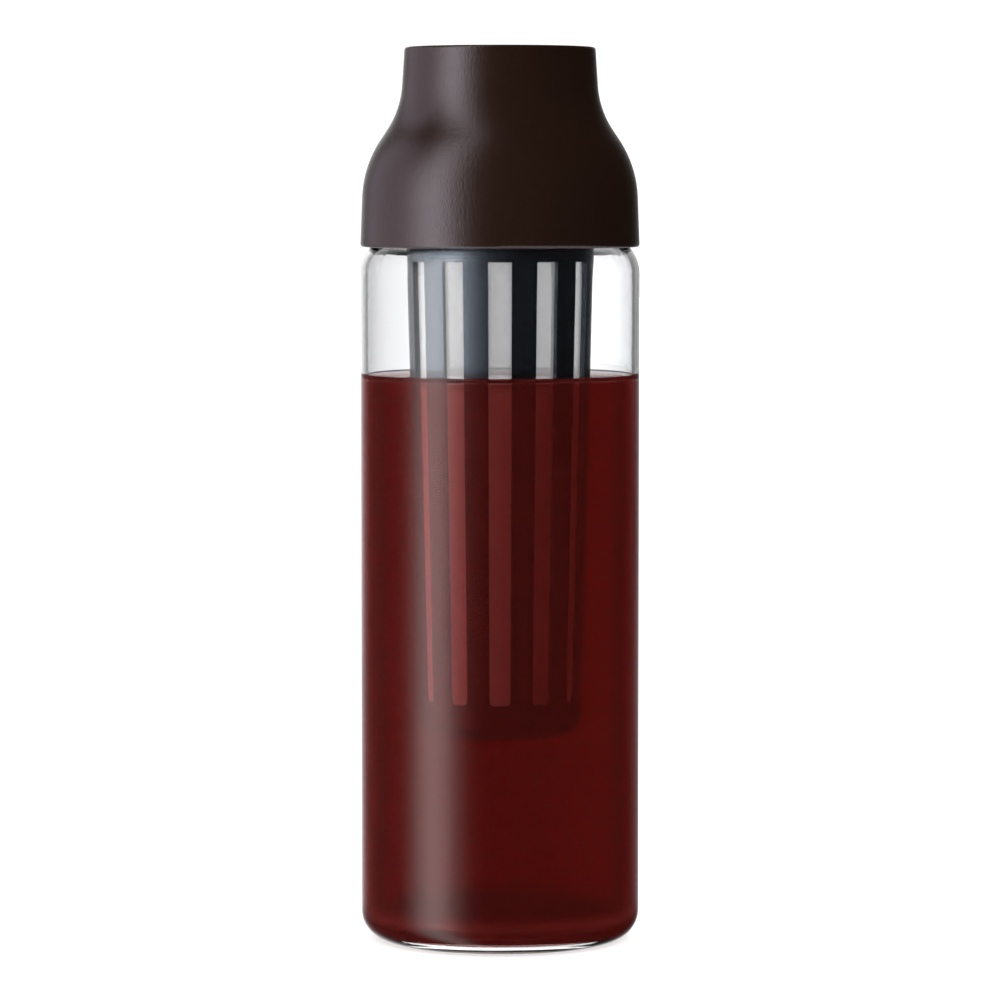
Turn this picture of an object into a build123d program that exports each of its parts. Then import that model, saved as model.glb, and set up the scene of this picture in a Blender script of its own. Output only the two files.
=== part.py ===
from build123d import *
import os
from math import cos, radians, sin, sqrt, tan

# A one-litre cold brew maker: a glass carafe, a strainer that hangs in its neck, and a lid
# whose weighted stopper lifts by itself when the carafe is tilted.
# Millimetres, +Z up, with the origin on the table under the middle of the carafe's foot.

# ---- Glass carafe --------------------------------------------------------------------------
BODY_RADIUS = 45.0          # outside of the glass, and of the lid's skirt
BODY_HEIGHT = 224.8         # table to where the wall and the shoulder's slope would meet
GLASS_WALL = 2.2
GLASS_BASE = 3.0
FOOT_ROUND = 9.0            # outside corner between wall and foot
FOOT_RING_WIDTH = 5.0       # flat ring that stands on the table
PUSH_UP = 0.9               # how far the middle of the base is raised
PUSH_UP_RAMP = 2.7          # width of the slope between foot ring and raised middle
SHOULDER_WIDTH = 11.1       # from the outside of the body in to the outside of the neck
SHOULDER_SLOPE = 19.0       # degrees the shoulder still climbs as it meets the neck
SHOULDER_ROUND = 13.4
NECK_HEIGHT = 25.2          # mouth above the shoulder corner
NECK_WALL = 2.4
NECK_ROUND = 2.5            # hollow between shoulder and neck
MOUTH_ROUND = 0.8

# ---- All pieces ----------------------------------------------------------------------------
PRESS_GAP = 0.05            # between two pieces that are pressed together
FIT_GAP = 0.1               # between two pieces that are put together by hand
EDGE_ROUND = 0.3
FINE_ROUND = 0.2            # on the thinnest edges
CORNER_ROUND = 1.0

# ---- Strainer ------------------------------------------------------------------------------
STRAINER_CLEARANCE = 0.6    # collar to the bore of the neck
STRAINER_DEPTH = 184.6      # from the underside of the flange to the bottom of the cup
STRAINER_TAPER = 1.43       # degrees from upright
STRAINER_WALL = 1.8
CUP_ROUND = 6.0
FLANGE_THICKNESS = 1.6
FLANGE_OVERHANG = 0.3       # past the outside of the glass mouth
WINDOW_COUNT = 12
WINDOW_SHARE = 0.477        # part of each pitch that is open
WINDOW_FOOT = 11.5          # solid cup left under the windows
WINDOW_HEAD = 31.5          # solid collar left over the windows
WINDOW_ROUND = 1.8
MESH_THICKNESS = 0.3
MESH_LAP = 5.0              # how far the mesh runs past the windows, above and below
RIM_GASKET_THICKNESS = 1.2

# ---- Lid bell ------------------------------------------------------------------------------
BELL_RISE = 35.3            # lid top above the strainer's flange
BELL_TOP_INSET = 14.3       # lid top rim in from the body's outside
BELL_SKIRT_LAP = 0.8        # skirt's edge below the shoulder corner
BELL_WALL = 2.4
WAIST_DROP = 20.0           # waist below the lid's top
WAIST_FLARE = 1.3           # how much wider the waist is than the top rim
HIP_INSET = 0.97            # hip in from the skirt's edge
WAIST_BLEND = 0.355         # share of the slope that the waist's arc takes
HIP_BLEND = 0.463           # share of the slope that the hip's arc takes
LIP_THICKNESS = 2.0         # inward lip that covers the bowl's edge
SNAP_BEAD = 0.9             # how far the bead under the rest disc stands in

# ---- Inside of the lid: pouring bowl with the stopper's seat, and plug ---------------------
BOWL_WALL = 1.8
BOWL_ROUND = 7.0
SEAT_RISE = 9.2             # stopper's seat above the strainer's flange
SEAT_LAND = 3.9             # flat ring between the bowl's curve and the throat
SEAT_THICKNESS = 2.4
REST_DISC = 1.8             # disc that stands on the strainer's flange
PLUG_GAP = 1.5              # plug to the inside of the strainer's collar
PLUG_DEPTH = 16.8           # plug below the rest disc
PLUG_WALL = 3.0
CENTRING_RIB = 1.5          # square rib under the bowl that centres it in the plug
THROAT_WALL = 2.0
THROAT_DEPTH = 13.0         # throat tube below the seat
GUIDE_STEP = 1.0            # step in the throat that the guide is pushed up against

# ---- Plug gasket ---------------------------------------------------------------------------
GROOVE_DEPTH = 1.3
GROOVE_OFFSET = 4.0         # groove above the plug's lower edge
GASKET_HEIGHT = 6.8
GASKET_GROOVE_PLAY = 0.1    # gasket to each side of its groove
GASKET_STANDOUT = 0.2       # gasket's body past the plug
FIN_COUNT = 3
FIN_THICKNESS = 0.8
FIN_ROOT = 0.5              # how far the fins are rooted in the gasket's body
FIN_GAP = 0.3               # fin tips to the strainer's collar

# ---- Stopper and its guide -----------------------------------------------------------------
GUIDE_RING_WALL = 1.5
GUIDE_RING_HEIGHT = 4.0
GUIDE_ARMS = 3
GUIDE_ARM_WIDTH = 2.2
GUIDE_ARM_HEIGHT = 3.0
HUB_RADIUS = 4.5
HUB_LENGTH = 6.0
STEM_RADIUS = 2.0
STEM_CLEARANCE = 0.08
STOPPER_TRAVEL = 6.0
STOPPER_SPARE = 0.2         # left between clip and hub at full lift
SEAL_LAP = 2.7              # seal past the throat, on the seat
SEAL_THICKNESS = 1.2
SEAL_WIDTH = 5.1
WEIGHT_THICKNESS = 4.0
WEIGHT_LIP = 1.0            # lip that keeps the seal on the weight's spigot
STEM_COVER = 2.0            # steel left over the stem's blind hole
CAP_WALL = 1.6
CAP_DOME = 2.0              # middle of the cap above its edge
CAP_SIDE = 0.4              # upright side above the weight's top
CAP_LIFT = 0.4              # cap's lower edge above the seal
CLIP_THICKNESS = 1.0
CLIP_WIDTH = 2.0
CLIP_GROOVE = 0.5
CLIP_MOUTH = 3.0            # open side of the clip
STEM_TAIL = 1.5             # stem below its clip

# ---- Levels and radii that follow ----------------------------------------------------------
mouth_level = BODY_HEIGHT + NECK_HEIGHT
gasket_top = mouth_level + RIM_GASKET_THICKNESS
rest_level = gasket_top + FLANGE_THICKNESS
lid_top = rest_level + BELL_RISE
skirt_level = BODY_HEIGHT - BELL_SKIRT_LAP
seat_level = rest_level + SEAT_RISE
lip_level = lid_top - LIP_THICKNESS

neck_radius = BODY_RADIUS - SHOULDER_WIDTH
neck_bore = neck_radius - NECK_WALL
collar_radius = neck_bore - STRAINER_CLEARANCE
flange_radius = neck_radius + FLANGE_OVERHANG
cup_level = gasket_top - STRAINER_DEPTH

bell_top_radius = BODY_RADIUS - BELL_TOP_INSET
bowl_outer = bell_top_radius - BELL_WALL - FIT_GAP
bowl_radius = bowl_outer - BOWL_WALL
throat_radius = bowl_radius - BOWL_ROUND - SEAT_LAND
throat_step = throat_radius + GUIDE_STEP
throat_end = seat_level - THROAT_DEPTH

seat_under = seat_level - SEAT_THICKNESS
plug_outer = collar_radius - STRAINER_WALL - PLUG_GAP
plug_inner = plug_outer - PLUG_WALL
plug_end = rest_level - PLUG_DEPTH
groove_low = plug_end + GROOVE_OFFSET

seal_top = seat_level + SEAL_THICKNESS
seal_outer = throat_radius + SEAL_LAP
seal_bore = seal_outer - SEAL_WIDTH
weight_top = seal_top + WEIGHT_THICKNESS
stem_top = weight_top - STEM_COVER
clip_top = throat_end - STOPPER_TRAVEL - STOPPER_SPARE
clip_bottom = clip_top - CLIP_THICKNESS


def turned(*corners):
    """Revolve a closed outline about Z. Each corner is a radius, a height and, if it has one, a round."""
    rounds = [corner[2] if len(corner) > 2 else 0 for corner in corners]
    outline = FilletPolyline(*[corner[:2] for corner in corners], radius=rounds, close=True)
    return revolve(Plane.XZ * make_face(outline), Axis.Z)


def ring(inner, outer, low, high, edge=0):
    """A flat ring between two radii and two heights."""
    return turned((inner, low, edge), (outer, low, edge), (outer, high, edge), (inner, high, edge))


def standing(shape_type, *sizes, at):
    """A box or cylinder that stands centred on one point."""
    return Pos(*at) * shape_type(*sizes, align=(Align.CENTER, Align.CENTER, Align.MIN))


def round_the_axis(shape, count):
    """Copies of a shape at equal steps about Z."""
    return [Rot(0, 0, step * 360 / count) * shape for step in range(count)]


def collar_at(height):
    """Outside radius of the tapering strainer at one height."""
    return collar_radius - (gasket_top - height) * tan(radians(STRAINER_TAPER))


# ---- Glass carafe --------------------------------------------------------------------------
def shoulder_corners(inset, neck):
    """The body corner and the neck corner of the shoulder, the given distance inside the glass."""
    climb = tan(radians(SHOULDER_SLOPE))
    level = BODY_HEIGHT - inset / cos(radians(SHOULDER_SLOPE))
    return [(radius, level + (BODY_RADIUS - radius) * climb) for radius in (BODY_RADIUS - inset, neck)]


def glass_carafe():
    """Blown glass body: raised base on a foot ring, round shoulder and straight neck."""
    wall_inside = BODY_RADIUS - GLASS_WALL
    ring_inner = BODY_RADIUS - FOOT_ROUND - FOOT_RING_WIDTH
    raised = ring_inner - PUSH_UP_RAMP
    outer_shoulder, outer_neck = shoulder_corners(0, neck_radius)
    inner_shoulder, inner_neck = shoulder_corners(GLASS_WALL, neck_bore)
    return turned(
        (0, PUSH_UP),
        (raised, PUSH_UP, 2 * CORNER_ROUND),
        (ring_inner, 0, CORNER_ROUND),
        (BODY_RADIUS, 0, FOOT_ROUND),
        (*outer_shoulder, SHOULDER_ROUND),
        (*outer_neck, NECK_ROUND),
        (neck_radius, mouth_level, MOUTH_ROUND),
        (neck_bore, mouth_level, MOUTH_ROUND),
        (*inner_neck, NECK_ROUND + GLASS_WALL),
        (*inner_shoulder, SHOULDER_ROUND - GLASS_WALL),
        (wall_inside, GLASS_BASE, FOOT_ROUND - GLASS_WALL),
        (ring_inner, GLASS_BASE, CORNER_ROUND),
        (raised, GLASS_BASE + PUSH_UP, 2 * CORNER_ROUND),
        (0, GLASS_BASE + PUSH_UP))


# ---- Strainer ------------------------------------------------------------------------------
def window_cutter():
    """The tool for one strainer window: narrower at its foot, where its corners are round."""
    foot = cup_level + WINDOW_FOOT
    head = gasket_top - WINDOW_HEAD
    half_angle = radians(WINDOW_SHARE * 180 / WINDOW_COUNT)
    foot_half = collar_at(foot) * sin(half_angle)
    head_half = collar_at(head) * sin(half_angle)
    corners = [(-foot_half, foot), (foot_half, foot), (head_half, head), (-head_half, head)]
    outline = FilletPolyline(*corners, radius=[WINDOW_ROUND, WINDOW_ROUND, 0, 0], close=True)
    return extrude(Plane.XZ * make_face(outline), amount=2 * collar_radius)


def strainer_frame():
    """Moulded frame: flange, collar, ribs and cup in one tapering piece with windows all round."""
    cup_floor = cup_level + STRAINER_WALL
    body = turned(
        (0, cup_level),
        (collar_at(cup_level), cup_level, CUP_ROUND),
        (collar_radius, gasket_top),
        (flange_radius, gasket_top, EDGE_ROUND),
        (flange_radius, rest_level, EDGE_ROUND),
        (collar_at(rest_level) - STRAINER_WALL, rest_level, EDGE_ROUND),
        (collar_at(cup_floor) - STRAINER_WALL, cup_floor, CUP_ROUND - STRAINER_WALL),
        (0, cup_floor))
    return body - round_the_axis(window_cutter(), WINDOW_COUNT)


def strainer_mesh():
    """Fine filter mesh, a thin tapering sleeve just inside the ribs."""
    low = cup_level + WINDOW_FOOT - MESH_LAP
    high = gasket_top - WINDOW_HEAD + MESH_LAP
    face = STRAINER_WALL + PRESS_GAP
    back = face + MESH_THICKNESS
    return turned(
        (collar_at(low) - back, low),
        (collar_at(low) - face, low),
        (collar_at(high) - face, high),
        (collar_at(high) - back, high))


def rim_gasket():
    """Silicone ring under the strainer's flange, which seals on the glass mouth."""
    return ring(collar_radius + PRESS_GAP, flange_radius, mouth_level, gasket_top, EDGE_ROUND)


# ---- Lid bell ------------------------------------------------------------------------------
def bell_corners(inset):
    """Top, waist, hip and skirt corners of the bell, the given distance inside its outer face."""
    outer = [(bell_top_radius, lid_top), (bell_top_radius + WAIST_FLARE, lid_top - WAIST_DROP),
             (BODY_RADIUS - HIP_INSET, mouth_level), (BODY_RADIUS, skirt_level)]
    spans = []
    for (upper_radius, upper), (lower_radius, lower) in zip(outer, outer[1:]):
        lean = (lower_radius - upper_radius) / (upper - lower)
        spans.append((lean, upper_radius + lean * upper - inset * sqrt(1 + lean ** 2)))
    levels = [lid_top]
    for (lean, reach), (next_lean, next_reach) in zip(spans, spans[1:]):
        levels.append((next_reach - reach) / (next_lean - lean))
    levels.append(skirt_level)
    lowest_lean, lowest_reach = spans[-1]
    radii = [reach - lean * level for (lean, reach), level in zip(spans, levels)]
    radii.append(lowest_reach - lowest_lean * skirt_level)
    return list(zip(radii, levels))


def bell_rounds(inset):
    """Radii of the hollow waist and the full hip, the given distance inside the bell's outer face."""
    top, waist, hip, skirt = [Vector(*corner) for corner in bell_corners(0)]
    slope = hip - waist
    waist_turn = radians((waist - top).get_angle(slope))
    hip_turn = radians(slope.get_angle(skirt - hip))
    waist_round = slope.length * WAIST_BLEND / tan(waist_turn / 2)
    hip_round = slope.length * HIP_BLEND / tan(hip_turn / 2)
    return [waist_round + inset, hip_round - inset]


def bell_inside_at(height):
    """Radius of the bell's inner face at one height."""
    inner_line = FilletPolyline(*bell_corners(BELL_WALL), radius=bell_rounds(BELL_WALL))
    return inner_line.intersect(Line((0, height), (2 * BODY_RADIUS, height)))[0].X


def snap_bead():
    """Bead inside the bell that keeps the plug's rest disc in place from below."""
    high = rest_level - FIT_GAP
    low = high - 2 * SNAP_BEAD
    root = bell_inside_at(low) + BELL_WALL / 2
    tip = bell_inside_at(high) - SNAP_BEAD
    return turned((root, low), (bell_inside_at(low), low), (tip, high, FINE_ROUND), (root, high))


def lid_shell():
    """Bell-shaped outer lid of even wall, open below, with a lip at its top over the bowl's edge."""
    top, waist, hip, skirt = bell_corners(0)
    _, inner_waist, inner_hip, inner_skirt = bell_corners(BELL_WALL)
    waist_round, hip_round = bell_rounds(0)
    inner_waist_round, inner_hip_round = bell_rounds(BELL_WALL)
    bell = turned(
        (*top, CORNER_ROUND),
        (*waist, waist_round),
        (*hip, hip_round),
        (*skirt, CORNER_ROUND),
        (*inner_skirt, 2 * EDGE_ROUND),
        (*inner_hip, inner_hip_round),
        (*inner_waist, inner_waist_round),
        (bell_inside_at(lip_level), lip_level),
        (bowl_radius, lip_level, EDGE_ROUND),
        (bowl_radius, lid_top, CORNER_ROUND))
    return bell + snap_bead()


# ---- Inside of the lid ---------------------------------------------------------------------
def pouring_bowl():
    """Bowl that the drink rises into, with the stopper's seat and the throat tube under it."""
    tube_outer = throat_step + THROAT_WALL
    step_level = throat_end + GUIDE_RING_HEIGHT
    rib_outer = plug_inner - FIT_GAP
    rib_inner = rib_outer - CENTRING_RIB
    rib_end = seat_under - CENTRING_RIB
    return turned(
        (bowl_outer, lip_level),
        (bowl_radius, lip_level, EDGE_ROUND),
        (bowl_radius, seat_level, BOWL_ROUND),
        (throat_radius, seat_level, EDGE_ROUND),
        (throat_radius, step_level),
        (throat_step, step_level),
        (throat_step, throat_end),
        (tube_outer, throat_end, EDGE_ROUND),
        (tube_outer, seat_under, CORNER_ROUND),
        (rib_inner, seat_under, EDGE_ROUND),
        (rib_inner, rib_end, EDGE_ROUND),
        (rib_outer, rib_end, EDGE_ROUND),
        (rib_outer, seat_under),
        (bowl_outer, seat_under, EDGE_ROUND))


def lid_plug():
    """Plug that goes down into the strainer, with the rest disc, which reaches out to the bell."""
    disc_top = rest_level + REST_DISC
    groove_high = groove_low + GASKET_HEIGHT + 2 * GASKET_GROOVE_PLAY
    groove_radius = plug_outer - GROOVE_DEPTH
    return turned(
        (plug_inner, seat_under),
        (plug_inner, plug_end, 2 * EDGE_ROUND),
        (plug_outer, plug_end, CORNER_ROUND),
        (plug_outer, groove_low),
        (groove_radius, groove_low),
        (groove_radius, groove_high),
        (plug_outer, groove_high),
        (plug_outer, rest_level),
        (bell_inside_at(rest_level) - FIT_GAP, rest_level, FINE_ROUND),
        (bell_inside_at(disc_top) - FIT_GAP, disc_top, FINE_ROUND),
        (plug_outer, disc_top, CORNER_ROUND),
        (plug_outer, seat_under))


def plug_gasket():
    """Silicone ring in the plug's groove, with thin fins that wipe the strainer's collar."""
    inner = plug_outer - GROOVE_DEPTH + PRESS_GAP
    low = groove_low + GASKET_GROOVE_PLAY
    gasket = ring(inner, plug_outer + GASKET_STANDOUT, low, low + GASKET_HEIGHT, EDGE_ROUND)
    pitch = (GASKET_HEIGHT - FIN_THICKNESS) / FIN_COUNT
    for fin in range(FIN_COUNT):
        root_low = low + pitch * (fin + 0.5)
        tip_low = root_low + FIN_THICKNESS
        tip = collar_at(root_low) - STRAINER_WALL - FIN_GAP
        gasket += turned(
            (inner + FIN_ROOT, root_low),
            (tip, tip_low, FINE_ROUND),
            (tip, tip_low + FIN_THICKNESS, FINE_ROUND),
            (inner + FIN_ROOT, root_low + 1.5 * FIN_THICKNESS))
    return gasket


# ---- Stopper and its guide -----------------------------------------------------------------
def valve_guide():
    """Three-armed spider, pressed into the throat, whose hub guides the stopper's stem."""
    outer = throat_step - PRESS_GAP
    inner = outer - GUIDE_RING_WALL
    guide = ring(inner, outer, throat_end, throat_end + GUIDE_RING_HEIGHT, EDGE_ROUND)
    reach = inner + GUIDE_RING_WALL / 2
    arm = standing(Box, reach, GUIDE_ARM_WIDTH, GUIDE_ARM_HEIGHT, at=(reach / 2, 0, throat_end))
    guide += round_the_axis(arm, GUIDE_ARMS)
    guide += standing(Cylinder, HUB_RADIUS, HUB_LENGTH, at=(0, 0, throat_end))
    return guide - standing(Cylinder, STEM_RADIUS + STEM_CLEARANCE, HUB_LENGTH, at=(0, 0, throat_end))


def stopper_seal():
    """Silicone washer that closes the throat."""
    return ring(seal_bore, seal_outer, seat_level, seal_top, EDGE_ROUND)


def stopper_weight():
    """Steel disc over the seal, with a lipped spigot through it and a blind hole for the stem."""
    outer = seal_outer - CAP_WALL
    spigot = seal_bore - PRESS_GAP
    lip = spigot + WEIGHT_LIP
    lip_top = seat_level - FIT_GAP
    lip_bottom = lip_top - WEIGHT_LIP
    disc = turned(
        (0, lip_bottom),
        (lip, lip_bottom, EDGE_ROUND),
        (lip, lip_top),
        (spigot, lip_top),
        (spigot, seal_top),
        (outer, seal_top, EDGE_ROUND),
        (outer, weight_top, EDGE_ROUND),
        (0, weight_top))
    return disc - standing(Cylinder, STEM_RADIUS + PRESS_GAP, stem_top - lip_bottom, at=(0, 0, lip_bottom))


def stopper_cap():
    """Domed cap over the weight, the part that shows in the middle of the bowl."""
    inner = seal_outer - CAP_WALL + FIT_GAP
    outer = inner + CAP_WALL
    foot = seal_top + CAP_LIFT
    roof = weight_top + FIT_GAP
    edge = (outer, roof + CAP_SIDE)
    crown = (0, roof + CAP_WALL + CAP_DOME)
    sides = Polyline(crown, (0, roof), (inner, roof), (inner, foot), (outer, foot), edge)
    section = make_face([*sides.edges(), TangentArc(crown, edge, tangent=(1, 0))])
    rim = section.vertices().sort_by(Axis.X)[-2:].sort_by(Axis.Y)[-1]
    return revolve(Plane.XZ * fillet(rim, CORNER_ROUND), Axis.Z)


def stopper_stem():
    """Steel pin from the weight down through the guide, grooved for its clip."""
    groove = STEM_RADIUS - CLIP_GROOVE
    tail = clip_bottom - STEM_TAIL
    return turned(
        (0, tail),
        (STEM_RADIUS, tail, EDGE_ROUND),
        (STEM_RADIUS, clip_bottom),
        (groove, clip_bottom),
        (groove, clip_top),
        (STEM_RADIUS, clip_top),
        (STEM_RADIUS, stem_top, EDGE_ROUND),
        (0, stem_top))


def stem_clip():
    """Open spring clip that stops the stem under the guide's hub."""
    outer = STEM_RADIUS + CLIP_WIDTH
    clip = ring(STEM_RADIUS - CLIP_GROOVE + PRESS_GAP, outer, clip_bottom, clip_top)
    return clip - standing(Box, 2 * outer, CLIP_MOUTH, CLIP_THICKNESS, at=(outer, 0, clip_bottom))


NODES = [
    glass_carafe, strainer_frame, strainer_mesh, rim_gasket,
    lid_shell, pouring_bowl, lid_plug, plug_gasket, valve_guide,
    stopper_seal, stopper_weight, stopper_cap, stopper_stem, stem_clip]

os.makedirs("parts", exist_ok=True)
for make in NODES:
    export_step(make(), f"parts/{make.__name__}.step")
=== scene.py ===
# %% [markdown]
# # Dressing a cold brew coffee maker
#
# The CAD model already has every piece at its real size: the glass carafe, the strainer that hangs
# in it, the bell-shaped lid and the weighted stopper inside the lid. What it lacks is what the eye
# goes by: clear glass, dark drink, fine plastic grain and woven mesh. This lesson adds those, and a
# small photo studio to look at them in. Everything is in metres, in the same frame as the CAD.

# %% Load the frame
import math
import bpy
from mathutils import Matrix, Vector


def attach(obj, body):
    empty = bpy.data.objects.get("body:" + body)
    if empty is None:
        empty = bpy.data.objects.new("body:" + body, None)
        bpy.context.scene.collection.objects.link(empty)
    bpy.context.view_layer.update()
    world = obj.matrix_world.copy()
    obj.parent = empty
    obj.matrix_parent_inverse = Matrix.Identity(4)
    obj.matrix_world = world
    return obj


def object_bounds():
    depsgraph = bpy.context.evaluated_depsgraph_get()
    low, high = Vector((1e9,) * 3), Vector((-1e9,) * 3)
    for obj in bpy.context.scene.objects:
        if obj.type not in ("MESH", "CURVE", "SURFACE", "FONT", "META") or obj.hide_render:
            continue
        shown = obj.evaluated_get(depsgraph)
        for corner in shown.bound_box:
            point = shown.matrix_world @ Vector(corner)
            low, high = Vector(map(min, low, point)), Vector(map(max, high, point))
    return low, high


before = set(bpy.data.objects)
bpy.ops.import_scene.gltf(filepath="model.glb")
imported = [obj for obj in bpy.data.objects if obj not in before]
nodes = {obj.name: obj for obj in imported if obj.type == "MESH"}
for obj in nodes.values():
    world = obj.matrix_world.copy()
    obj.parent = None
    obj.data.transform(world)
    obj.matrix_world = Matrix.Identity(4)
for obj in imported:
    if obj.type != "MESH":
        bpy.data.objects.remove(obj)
cad_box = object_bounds()
print("CAD nodes:", ", ".join(sorted(nodes)))
print("height of the maker:", round(cad_box[1].z * 1000, 1), "mm")

# %% [markdown]
# ## The camera
#
# A product like this is shot from far away with a long lens, so that its sides stay upright and the
# lid doesn't look bigger than the foot. The camera stands a little above the middle and looks four
# degrees down, which opens the round line of the drink's surface just enough to be seen.

# %% Place the camera
LENS = 166.95
EYE = Vector((0, -1.49635, 0.24688))
LOOKED_AT = Vector((0, 0, 0.14225))

scene = bpy.context.scene
camera = bpy.data.objects.new("camera", bpy.data.cameras.new("camera"))
camera.data.lens = LENS
camera.location = EYE
camera.rotation_euler = (LOOKED_AT - EYE).to_track_quat("-Z", "Y").to_euler()
scene.collection.objects.link(camera)
scene.camera = camera
scene.view_settings.view_transform = "Standard"
print("camera", round((LOOKED_AT - EYE).length, 2), "m away")

# %% [markdown]
# ## Shader maths as plain Python
#
# A material in Blender is a graph of nodes. Wiring a sum by hand takes three lines, which hides what
# it means. So one small class wraps a socket and overloads the operators: `1 - mask * 0.3` then adds
# the Math nodes by itself. Every other node comes from one method, which takes the node's type, its
# settings and the values or links of its sockets.

# %% A socket that can be calculated with
class Value:
    """What comes out of one socket. With no socket it stands for the node tree alone."""

    def __init__(self, tree, socket=None):
        self.tree = tree
        self.socket = socket

    def node(self, kind, settings=None, inputs=None, output=0):
        """Add a node of one kind, set it, fill its sockets, and return one of its outputs."""
        made = self.tree.nodes.new("ShaderNode" + kind)
        for name, setting in (settings or {}).items():
            setattr(made, name, setting)
        for name, value in (inputs or {}).items():
            if isinstance(value, Value):
                self.tree.links.new(value.socket, made.inputs[name])
            else:
                made.inputs[name].default_value = value
        return Value(self.tree, made.outputs[output] if made.outputs else None)

    def math(self, operation, first, second=0.0):
        return self.node("Math", {"operation": operation}, {0: first, 1: second})

    def __add__(self, other):
        return self.math("ADD", self, other)

    def __sub__(self, other):
        return self.math("SUBTRACT", self, other)

    def __rsub__(self, other):
        return self.math("SUBTRACT", other, self)

    def __mul__(self, other):
        return self.math("MULTIPLY", self, other)

    def __truediv__(self, other):
        return self.math("DIVIDE", self, other)

    def __pow__(self, other):
        return self.math("POWER", self, other)

    __radd__ = __add__
    __rmul__ = __mul__


# %% Helpers on top of it
def parts_of(vector):
    """The X, Y and Z of a vector value."""
    made = vector.node("SeparateXYZ", inputs={0: vector})
    return [Value(vector.tree, socket) for socket in made.socket.node.outputs]


def hump(angle, centre, width):
    """A soft bell that is 1 at its centre. Angle in radians, centre and width in degrees."""
    away = (angle - math.radians(centre)) / math.radians(width)
    return away.math("EXPONENT", away * away * -0.5)


def ramp(value, start, end):
    """0 up to the start, 1 from the end on, and straight between. It may also run downwards."""
    share = (value - start) / (end - start)
    return share.math("MINIMUM", share.math("MAXIMUM", share, 0), 1)


def mixed(factor, low, high):
    """Blend from one colour to another."""
    return factor.node("Mix", {"data_type": "RGBA"}, {0: factor, 6: low, 7: high}, 2)


# %% [markdown]
# ## The studio
#
# Glass and dark plastic have hardly any colour of their own: they show what stands around them. Here
# that is a white backdrop, one tall softbox at the front left with soft edges, a faint card at the
# left rear, and black cloth everywhere else. All of them are painted into the world, by direction.
#
# A ray that has only gone through clear glass sees plain white, as the camera does, so that the
# bottle stands on clean white. A ray that was mirrored or scattered outside the glass sees the
# studio. Daylight that has found its way into the glass bounces about between the walls, which path
# tracing alone would take far too long to find. So rays that end up outside after a turn inside the
# glass see lights of their own, told apart by the number of steps they took:
#
# - Light scattered inside, on mesh and drink, comes from a wide panel at the left and a glow all
#   round.
# - What is shiny behind both faces of the glass, such as the strainer's ribs, mirrors that same
#   panel, only brighter.
# - Light that runs round inside the wall of the glass is guided, as in a fibre. It is nearly white
#   and gives the wall its pale edge.
# - Everything shiny inside also mirrors a soft light from behind, so that the surface of the drink
#   and the far wall of the glass don't turn black.

# %% Paint the studio into the world
SOFTBOX = {"centre": -57, "width": 13, "height": 55, "strength": 2.35}
BACKDROP = {"centre": 5, "width": 12, "height": 50, "strength": 1.0}
SIDE_CARD = {"centre": -125, "width": 30, "height": 60, "strength": 0.035}
GUIDED = 0.9
BEHIND_GLASS = {"centre": 0, "width": 15, "height": 50, "strength": 0.55}
INSIDE = {"centre": -85, "width": 32, "height": 60, "strength": 1.7}
INSIDE_SHINE = 3.4
INSIDE_GLOW = 0.9
BLACK_CLOTH = 0.012
WHITE = 1.15

world = bpy.data.worlds.new("studio")
world.use_nodes = True
world.node_tree.nodes.clear()
sky = Value(world.node_tree)
east, north, up = parts_of(sky.node("TexCoord"))
from_front = sky.math("ARCTAN2", east, 0 - north)
from_back = sky.math("ARCTAN2", 0 - east, north)
elevation = sky.math("ARCSINE", up)

def panel(angle, size):
    """A light with soft edges round one azimuth, which fades overhead and underfoot."""
    across = hump(angle, size["centre"], size["width"])
    upright = hump(elevation, 0, size["height"])
    return across * upright * size["strength"]


def more_than(number, count):
    """1 where a ray took more steps of one sort than a number, else 0."""
    return count.math("GREATER_THAN", count, number + 0.5)


studio = panel(from_front, SOFTBOX) + panel(from_front, SIDE_CARD) + panel(from_back, BACKDROP)
outside = studio + BLACK_CLOTH
inside = panel(from_front, INSIDE) + INSIDE_GLOW
inside_mirrored = panel(from_front, INSIDE) * (INSIDE_SHINE / INSIDE["strength"])

# The camera's own ray counts as one step, so a path that only went through glass has one left over.
camera_ray, glass_ray, steps, steps_through_glass, scatterings = [
    sky.node("LightPath", output=name)
    for name in ("Is Camera Ray", "Is Transmission Ray", "Ray Depth", "Transmission Depth", "Diffuse Depth")]
steps_left = steps - steps_through_glass
seen_straight = sky.math("MAXIMUM", camera_ray, glass_ray * (1 - more_than(1, steps_left)))
scattered = glass_ray * more_than(0, scatterings)
shiny = glass_ray - scattered
from_within = shiny * more_than(3, steps_through_glass)
guided = (shiny - from_within) * more_than(2, steps_left)

turned = (outside + scattered * inside + from_within * inside_mirrored + guided * GUIDED
          + (shiny - guided) * panel(from_back, BEHIND_GLASS))
light = seen_straight * WHITE + (1 - seen_straight) * turned
painted = sky.node("Background", inputs={"Color": (1, 1, 1, 1), "Strength": light})
sky.node("OutputWorld", inputs={"Surface": painted})
scene.world = world
print("world:", len(world.node_tree.nodes), "nodes paint backdrop, softbox, card and black cloth")

# %% [markdown]
# ## The floor
#
# The maker stands on a pale sheet that runs off into the white. Its own lamp, high above, lights
# nothing else, so the sheet can be bright without washing out the bottle. What is left of a shadow
# is a faint one under the foot. Only the camera sees the sheet: what the glass, the drink and the
# plastic show is the studio.

# %% Lay the floor
FLOOR_RADIUS = 8.0
SIDES = 160

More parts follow.
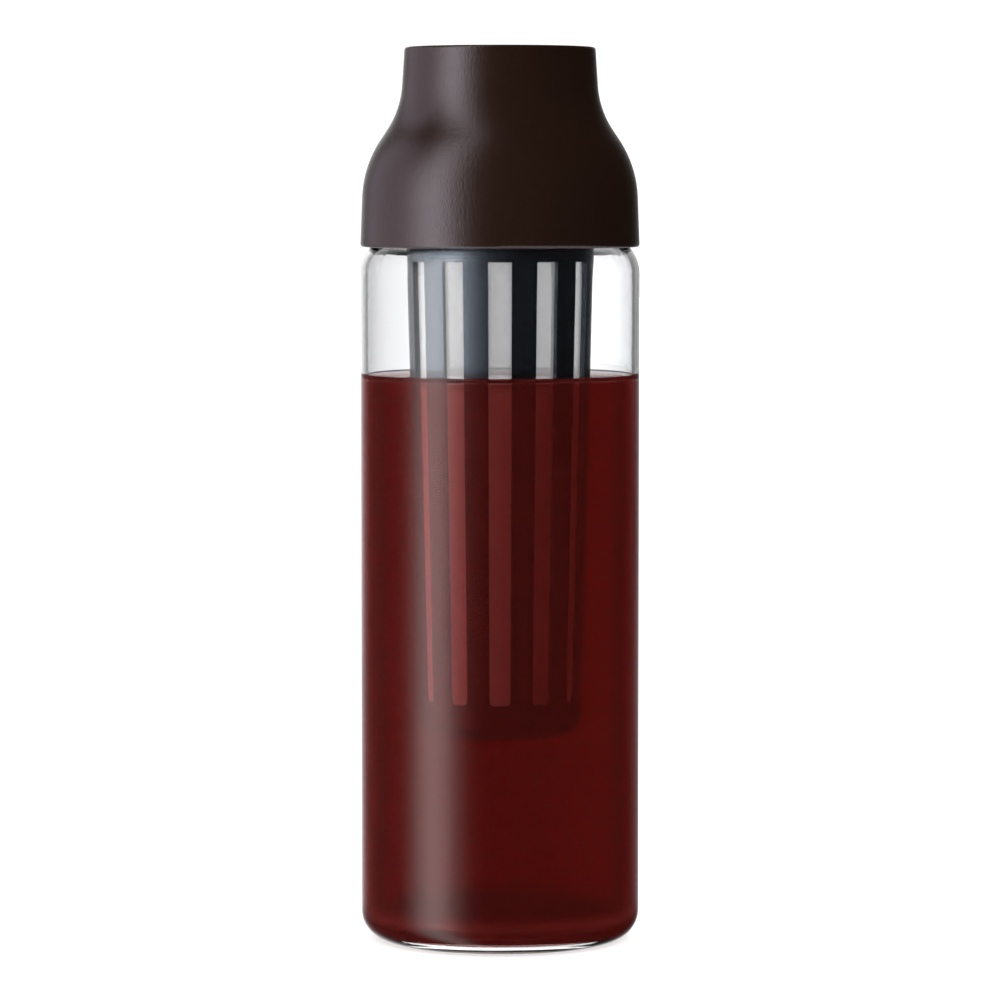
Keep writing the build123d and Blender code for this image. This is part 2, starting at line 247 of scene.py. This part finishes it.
def lathe(name, profile, closed=False):
    """Turn a list of (radius, height) points about Z into a mesh. A radius of 0 makes one point."""
    points, rings = [], []
    for radius, height in profile:
        count = SIDES if radius > 0 else 1
        turns = [2 * math.pi * step / count for step in range(count)]
        rings.append(range(len(points), len(points) + count))
        points += [(radius * math.cos(turn), radius * math.sin(turn), height) for turn in turns]
    faces = []
    for low, high in zip(rings, rings[1:] + rings[:closed]):
        for step in range(SIDES):
            around = [low[step % len(low)], low[(step + 1) % len(low)],
                      high[(step + 1) % len(high)], high[step % len(high)]]
            faces.append(list(dict.fromkeys(around)))
    mesh = bpy.data.meshes.new(name)
    mesh.from_pydata(points, [], faces)
    mesh.shade_smooth()
    made = bpy.data.objects.new(name, mesh)
    scene.collection.objects.link(made)
    return made


def new_material(name):
    """An empty material and the value that its nodes are added from."""
    made = bpy.data.materials.new(name)
    made.use_nodes = True
    made.node_tree.nodes.clear()
    return made, Value(made.node_tree)


def object_place(v):
    """Where a point lies on the object, in metres. It stays with the piece when the piece moves."""
    return v.node("TexCoord", output="Object")


def stretched(v, factors):
    """The same place with each axis multiplied by its own factor."""
    return v.node("VectorMath", {"operation": "MULTIPLY"}, {0: object_place(v), 1: factors})


def noise(v, place, scale, detail):
    """Cloudy noise from 0 to 1 with so many bumps to the metre. Detail adds finer and finer ones."""
    return v.node("TexNoise", inputs={"Vector": place, "Scale": scale, "Detail": detail})


floor = lathe("floor", [(0, 0), (FLOOR_RADIUS, 0)])
floor_paper, v = new_material("floor_paper")
fibre = noise(v, object_place(v), scale=300.0, detail=3.0)
paper = v.node("BsdfPrincipled", inputs={
    "Base Color": mixed(fibre, (0.80, 0.80, 0.80, 1), (0.84, 0.84, 0.84, 1)), "Roughness": 0.9,
    "Specular IOR Level": 0.0})
v.node("OutputMaterial", inputs={"Surface": paper})
floor.data.materials.append(floor_paper)
floor.visible_diffuse = floor.visible_glossy = floor.visible_transmission = False
print("floor", FLOOR_RADIUS * 2, "m wide")

# %% [markdown]
# ## The lamps
#
# The world alone leaves some pieces too dark. Each of these gets a lamp that lights nothing else,
# except for the fill lamp, which keeps the shaded side of everything outside the glass from going
# black. The lid's left side gets a cool light along its edge, and the table throws a soft one up at
# the lid's round parts.
#
# Glass that bends light stops a lamp's shadow rays altogether. So the lamps for what stands in the
# glass cast no shadows, and go through it as if it weren't there.

# %% Hang the lamps
def lamp(name, strength, softness, azimuth, height, lights=(), shadows=True):
    """A sun with soft edges, at one azimuth from the camera's side and one height, in degrees.

    It lights everything, or only the objects that are given."""
    made = bpy.data.objects.new(name, bpy.data.lights.new(name, "SUN"))
    made.data.energy = strength
    made.data.angle = math.radians(softness)
    made.data.use_shadow = shadows
    turn, rise = math.radians(azimuth), math.radians(height)
    place = Vector((math.sin(turn) * math.cos(rise), -math.cos(turn) * math.cos(rise), math.sin(rise)))
    made.rotation_euler = place.to_track_quat("Z", "Y").to_euler()
    scene.collection.objects.link(made)
    if lights:
        receivers = bpy.data.collections.new("lit_by_" + name)
        for one in lights:
            receivers.objects.link(one)
        made.light_linking.receiver_collection = receivers
    return made


lamp("floor_lamp", strength=5.2, softness=150, azimuth=0, height=90, lights=[floor], shadows=False)
fill_lamp = lamp("fill_lamp", strength=1.4, softness=150, azimuth=60, height=5)
fill_lamp.visible_glossy = False
fill_lamp.visible_transmission = False
edge_lamp = lamp("edge_lamp", strength=0.56, softness=70, azimuth=-108, height=5,
                 lights=[nodes["lid_shell"]])
edge_lamp.data.color = (0.92, 0.88, 1.0)
lamp("table_lamp", strength=1.65, softness=120, azimuth=0, height=-90, lights=[nodes["lid_shell"]])
lamp("mesh_lamp", strength=4.2, softness=90, azimuth=-90, height=5, lights=[nodes["strainer_mesh"]],
     shadows=False)
lamp("frame_lamp", strength=1.4, softness=90, azimuth=-90, height=5, lights=[nodes["strainer_frame"]],
     shadows=False)

# %% [markdown]
# ## Clear glass
#
# The carafe is blown borosilicate glass: colourless, smooth, and never quite flat, because the
# surface was once liquid. The wall has real thickness in the CAD, so refraction comes out by
# itself. A very slow, shallow bump bends the reflections a little, as hand-finished glass does, and
# the roughness rises a trace where fingers have been.

# %% Make the glass
def dress(names, finish):
    """Give CAD nodes a finish."""
    for name in names:
        for slot in nodes[name].material_slots:
            slot.material = finish
    print(finish.name, "on", ", ".join(names))


glass, v = new_material("clear_glass")
waves = noise(v, stretched(v, (1, 1, 0.35)), scale=55.0, detail=1.0)
touched = noise(v, object_place(v), scale=40.0, detail=6.0) ** 4
surface = v.node("BsdfPrincipled", inputs={
    "Base Color": (0.984, 0.986, 0.995, 1), "Roughness": touched * 0.06, "IOR": 1.47,
    "Transmission Weight": 1.0,
    "Normal": v.node("Bump", inputs={"Strength": 0.25, "Distance": 0.0004, "Height": waves})})
v.node("OutputMaterial", inputs={"Surface": surface})
dress(["glass_carafe"], glass)

# %% [markdown]
# ## The lid's plastic
#
# The bell is moulded in a spark-eroded tool, which leaves a fine, even grain. Two noises of
# different size give the grain its irregular look. The colour is a very dark brown that is nearly
# black in the shade. The stopper's cap is made of the same plastic.

# %% Make the lid's plastic
LID_BROWN = (0.040, 0.016, 0.0075, 1)
LID_BROWN_DEEP = (0.032, 0.0125, 0.006, 1)

lid_plastic, v = new_material("grained_brown_plastic")
fine_grain = noise(v, object_place(v), scale=2000.0, detail=2.0)
broad_grain = noise(v, object_place(v), scale=1000.0, detail=2.0)
grain = fine_grain * 0.6 + broad_grain * 0.4
cloud = noise(v, object_place(v), scale=60.0, detail=3.0)
surface = v.node("BsdfPrincipled", inputs={
    "Base Color": mixed(cloud, LID_BROWN_DEEP, LID_BROWN), "Roughness": 0.17 + grain * 0.10, "IOR": 1.85,
    "Specular Tint": (0.96, 0.88, 0.98, 1),
    "Normal": v.node("Bump", inputs={"Strength": 0.8, "Distance": 0.00016, "Height": grain})})
v.node("OutputMaterial", inputs={"Surface": surface})
dress(["lid_shell", "stopper_cap"], lid_plastic)

# %% [markdown]
# ## Black plastic
#
# The strainer's frame and the inside of the lid are black polypropylene from a polished tool. It is
# smooth and glossy, with only a trace of flow marks that run along the ribs.

# %% Make the black plastic
black_plastic, v = new_material("glossy_black_plastic")
flow = noise(v, stretched(v, (1, 1, 0.08)), scale=350.0, detail=3.0)
surface = v.node("BsdfPrincipled", inputs={
    "Base Color": mixed(flow, (0.007, 0.008, 0.011, 1), (0.011, 0.012, 0.016, 1)),
    "Roughness": 0.14 + flow * 0.12, "IOR": 1.8, "Specular Tint": (0.74, 0.85, 1.0, 1),
    "Normal": v.node("Bump", inputs={"Strength": 0.2, "Distance": 0.0001, "Height": flow})})
v.node("OutputMaterial", inputs={"Surface": surface})
dress(["strainer_frame", "pouring_bowl", "lid_plug", "valve_guide"], black_plastic)

# %% [markdown]
# ## The filter mesh
#
# The windows are closed by a plastic cloth so fine that the threads can hardly be told apart, and
# one sees through it as through a veil. The weave is worked out from the angle round the axis and
# the height. It is over and under like cloth in the bump, and the holes between the threads let
# light pass through the alpha.
#
# Where the mesh has stood in the drink it is wet: its holes are filled, so it is denser. It is also
# painted lighter there, as painted light for the light that the drink takes away.

# %% Make the filter mesh
DRINK_LEVEL = 0.1816
THREADS_ROUND = 420
THREAD_PITCH = 0.0004
THREAD_SHARPNESS = 6
UNDER_DRINK_FADE = 0.004
DRY_MESH = (0.41, 0.41, 0.42, 1), (0.49, 0.49, 0.48, 1)
WET_MESH_PAINTED_LIGHTER = (0.58, 0.58, 0.58, 1), (0.68, 0.68, 0.66, 1)

filter_mesh, v = new_material("woven_filter_mesh")
across, depth, height = parts_of(object_place(v))
upright = v.math("SINE", v.math("ARCTAN2", depth, across) * (THREADS_ROUND / 2))
level = v.math("SINE", height * (math.pi / THREAD_PITCH))
threads = v.math("MAXIMUM", v.math("ABSOLUTE", upright) ** THREAD_SHARPNESS,
                 v.math("ABSOLUTE", level) ** THREAD_SHARPNESS)
# Below the drink line the mesh is denser and painted lighter: painted light.
wet_and_painted_light = ramp(height, DRINK_LEVEL, DRINK_LEVEL - UNDER_DRINK_FADE)
stain = noise(v, object_place(v), scale=120.0, detail=3.0)
surface = v.node("BsdfPrincipled", inputs={
    "Base Color": mixed(wet_and_painted_light, mixed(stain, *DRY_MESH), mixed(stain, *WET_MESH_PAINTED_LIGHTER)),
    "Roughness": 0.45 + threads * 0.1, "Alpha": 0.22 + threads * 0.20 + wet_and_painted_light * 0.50,
    "Normal": v.node("Bump", inputs={"Strength": 0.4, "Distance": 0.0001, "Height": upright * level})})
v.node("OutputMaterial", inputs={"Surface": surface})
dress(["strainer_mesh"], filter_mesh)

# %% [markdown]
# ## Silicone and steel
#
# The rings that seal are dark silicone: matte, with a dusty bloom. The weight, stem and clip are
# turned steel, so fine rings run round the axis, on flat faces and on sides alike. A noise that is
# fed only the distance from the axis and the height makes exactly that.

# %% Make the silicone
silicone, v = new_material("dark_silicone")
bloom = noise(v, object_place(v), scale=500.0, detail=5.0)
surface = v.node("BsdfPrincipled", inputs={
    "Base Color": mixed(bloom, (0.022, 0.021, 0.021, 1), (0.045, 0.043, 0.042, 1)),
    "Roughness": 0.55 + bloom * 0.25, "IOR": 1.41,
    "Normal": v.node("Bump", inputs={"Strength": 0.3, "Distance": 0.00008, "Height": bloom})})
v.node("OutputMaterial", inputs={"Surface": surface})
dress(["rim_gasket", "plug_gasket", "stopper_seal"], silicone)

# %% Make the steel
steel, v = new_material("turned_steel")
across, depth, height = parts_of(object_place(v))
from_axis = (across * across + depth * depth) ** 0.5
tool_path = v.node("CombineXYZ", inputs={0: from_axis, 2: height})
turning = noise(v, tool_path, scale=6000.0, detail=2.0)
surface = v.node("BsdfPrincipled", inputs={
    "Base Color": mixed(turning, (0.50, 0.50, 0.51, 1), (0.60, 0.60, 0.60, 1)), "Metallic": 1.0,
    "Roughness": 0.22 + turning * 0.16,
    "Normal": v.node("Bump", inputs={"Strength": 0.25, "Distance": 0.00005, "Height": turning})})
v.node("OutputMaterial", inputs={"Surface": surface})
dress(["stopper_weight", "stopper_stem", "stem_clip"], steel)

# %% [markdown]
# ## The drink
#
# Cold brew fills the carafe to a little under the shoulder. Seen from the side, liquid in a glass
# tube seems to reach the very outside of the glass, because the wall bends the view inwards. So the
# drink's body ends just inside the outer face of the wall. It is one turned solid: flat below,
# round at the foot as the glass is, and drawn up at the edge of its surface, where water climbs on
# glass.
#
# The bending does one more thing: even close to the edge one looks through a good depth of drink,
# so the edge is nearly as dark as the middle. A straight look through the same round body would
# find very little there. A denser ring next to the wall makes up for it: it is painted shade.

# %% Shape the drink
GLASS_RADIUS = cad_box[1].x
FOOT_ROUND = 0.009
FOOT_RING_WIDTH = 0.005
PUSH_UP = 0.0009
PUSH_UP_RAMP = 0.0027
GLASS_FLOOR = 0.0030
INSIDE_OUTER_FACE = 0.0002
OFF_THE_GLASS = 0.00005
FLOOR_TURNS_UP = (0.001, 0.00008)
FLOOR_MEETS_FOOT = (0.00195, 0.00334)
FOOT_STARTS = (0.0396, 0.0040)
FOOT_STEPS = 16
CLIMB = 0.0017
CLIMB_REACH = 0.0009
CLIMB_STEPS = (0, 0.0002, 0.0004, 0.0007, 0.001, 0.0014, 0.0019, 0.0026, 0.0036)
SHARPER_THAN = 50
RIM_INSIDE, RIM_OUTSIDE = 0.038, 0.0001
RIM_FOOT, RIM_UNDER_LEVEL = 0.0105, 0.0003

drink_radius = GLASS_RADIUS - INSIDE_OUTER_FACE
foot_ring = GLASS_RADIUS - FOOT_ROUND
ring_inner = foot_ring - FOOT_RING_WIDTH
drink_floor = GLASS_FLOOR + OFF_THE_GLASS
profile = [(0, drink_floor + PUSH_UP),
           (ring_inner - PUSH_UP_RAMP, drink_floor + PUSH_UP),
           (ring_inner, drink_floor),
           (foot_ring, drink_floor),
           (foot_ring + FLOOR_TURNS_UP[0], drink_floor + FLOOR_TURNS_UP[1]),
           (foot_ring + FLOOR_MEETS_FOOT[0], FLOOR_MEETS_FOOT[1])]
start_across, start_down = FOOT_STARTS[0] - foot_ring, FOOT_ROUND - FOOT_STARTS[1]
start_turn = math.atan2(start_down, start_across)
start_reach = math.hypot(start_across, start_down)
for step in range(FOOT_STEPS + 1):
    turn = start_turn * (1 - step / FOOT_STEPS)
    reach = start_reach + (drink_radius - foot_ring - start_reach) * step / FOOT_STEPS
    profile.append((foot_ring + reach * math.cos(turn), FOOT_ROUND - reach * math.sin(turn)))
for away in CLIMB_STEPS:
    profile.append((drink_radius - away, DRINK_LEVEL + CLIMB * math.exp(-away / CLIMB_REACH)))
profile.append((0, DRINK_LEVEL))
drink = lathe("drink", profile)
drink.data.set_sharp_from_angle(angle=math.radians(SHARPER_THAN))
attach(drink, "carafe")

rim_radius = drink_radius - RIM_OUTSIDE
rim_top = DRINK_LEVEL - RIM_UNDER_LEVEL
rim_profile = [(RIM_INSIDE, RIM_FOOT), (rim_radius, RIM_FOOT), (rim_radius, rim_top), (RIM_INSIDE, rim_top)]
rim = lathe("drink_rim", rim_profile, closed=True)
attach(rim, "carafe")
print("drink", round(drink_radius * 2000, 1), "mm wide and",
      round((DRINK_LEVEL - drink_floor) * 1000, 1), "mm deep")

# %% [markdown]
# Coffee is clear but very deep in colour. A thin layer is orange, a bottle of it is almost black
# with a red heart. Volume absorption gives that depth, and absorbs more where the ring and the body
# overlap.
#
# A little of the light also scatters on fine grounds, which a share of cloudy red stands for. It
# keeps the drink warm where the softbox shines in, and takes over at the foot, where the round
# glass gathers light. There the red is painted darker: painted shade for the long look through
# drink that the round foot gives. The drink's sides lie inside the glass, so they don't bend
# light. Its surface does, and its rim, where it has climbed the glass, is painted as a thin dark
# line: painted shade.

# %% Colour the drink
COFFEE_RED = (0.27, 0.024, 0.018, 1)
COFFEE_DEEP = (0.235, 0.020, 0.015, 1)
COFFEE_FOOT_SHADE = (0.080, 0.004, 0.003, 1)
COFFEE_LINE_SHADE = (0.020, 0.012, 0.010, 1)
CLOUDY_SIDE, CLOUDY_FOOT = 0.25, 0.95
CLOUDY_SURFACE, CLOUDY_LINE = 0.1, 0.6
FOOT_SHADE = (0.0125, 0.0065)
LINE_SHADE = (DRINK_LEVEL + 0.0012, DRINK_LEVEL + 0.0013)
SEEN_THROUGH = (0.6875, 0.1875, 0.175, 1)
BODY_DENSITY, RIM_SHADE_DENSITY = 80.0, 200.0

def coffee(name, is_surface):
    """Drink seen through its side, or through its surface, which bends and mirrors light."""
    made, v = new_material(name)
    height = parts_of(object_place(v))[2]
    near_foot = ramp(height, *FOOT_SHADE)
    swirl = noise(v, stretched(v, (1, 1, 0.3)), scale=30.0, detail=3.0)
    # Towards the foot the red is painted darker: painted shade.
    red = mixed(near_foot, mixed(swirl, COFFEE_DEEP, COFFEE_RED), COFFEE_FOOT_SHADE)
    if is_surface:
        # The climbed rim of the surface is painted as a thin dark line: painted shade.
        on_shade_line = ramp(height, *LINE_SHADE)
        red = mixed(on_shade_line, red, COFFEE_LINE_SHADE)
        cloudy_share = on_shade_line * CLOUDY_LINE + CLOUDY_SURFACE
        ripple = v.node("Bump", inputs={"Strength": 0.3, "Distance": 0.0002, "Height": swirl})
        clear = v.node("BsdfPrincipled", inputs={
            "Base Color": (1, 1, 1, 1), "Roughness": 0.0, "IOR": 1.333, "Transmission Weight": 1.0,
            "Normal": ripple})
    else:
        cloudy_share = near_foot * (CLOUDY_FOOT - CLOUDY_SIDE) + CLOUDY_SIDE
        clear = v.node("BsdfTransparent")
    cloudy = v.node("BsdfPrincipled", inputs={
        "Base Color": red, "Roughness": 0.12, "IOR": 1.8, "Specular Tint": (1, 0.22, 0.2, 1)})
    surface = v.node("MixShader", inputs={0: cloudy_share, 1: clear, 2: cloudy})
    absorbed = v.node("VolumeAbsorption", inputs={"Color": SEEN_THROUGH, "Density": BODY_DENSITY})
    v.node("OutputMaterial", inputs={"Surface": surface, "Volume": absorbed})
    return made


drink.data.materials.append(coffee("coffee_body", is_surface=False))
drink.data.materials.append(coffee("coffee_surface", is_surface=True))
for face in drink.data.polygons:
    face.material_index = int(face.center.z > DRINK_LEVEL)
print("drink faces on the surface:", sum(face.material_index for face in drink.data.polygons))

# The ring's extra absorption is painted shade for the drink's dark edge.
rim_shade, v = new_material("coffee_rim_shade")
absorbed = v.node("VolumeAbsorption", inputs={"Color": SEEN_THROUGH, "Density": RIM_SHADE_DENSITY})
v.node("OutputMaterial", inputs={"Surface": v.node("BsdfTransparent"), "Volume": absorbed})
rim.data.materials.append(rim_shade)

# %% [markdown]
# The shaded right half of the drink still glows a little, with light that has come through from
# behind. One more lamp stands for it. It lights only the drink, and leaves no highlight on it.

# %% Light the drink
drink_lamp = lamp("drink_lamp", strength=1.35, softness=60, azimuth=85, height=5, lights=[drink],
                  shadows=False)
drink_lamp.visible_glossy = False
print(drink_lamp.name, "lights", drink.name)
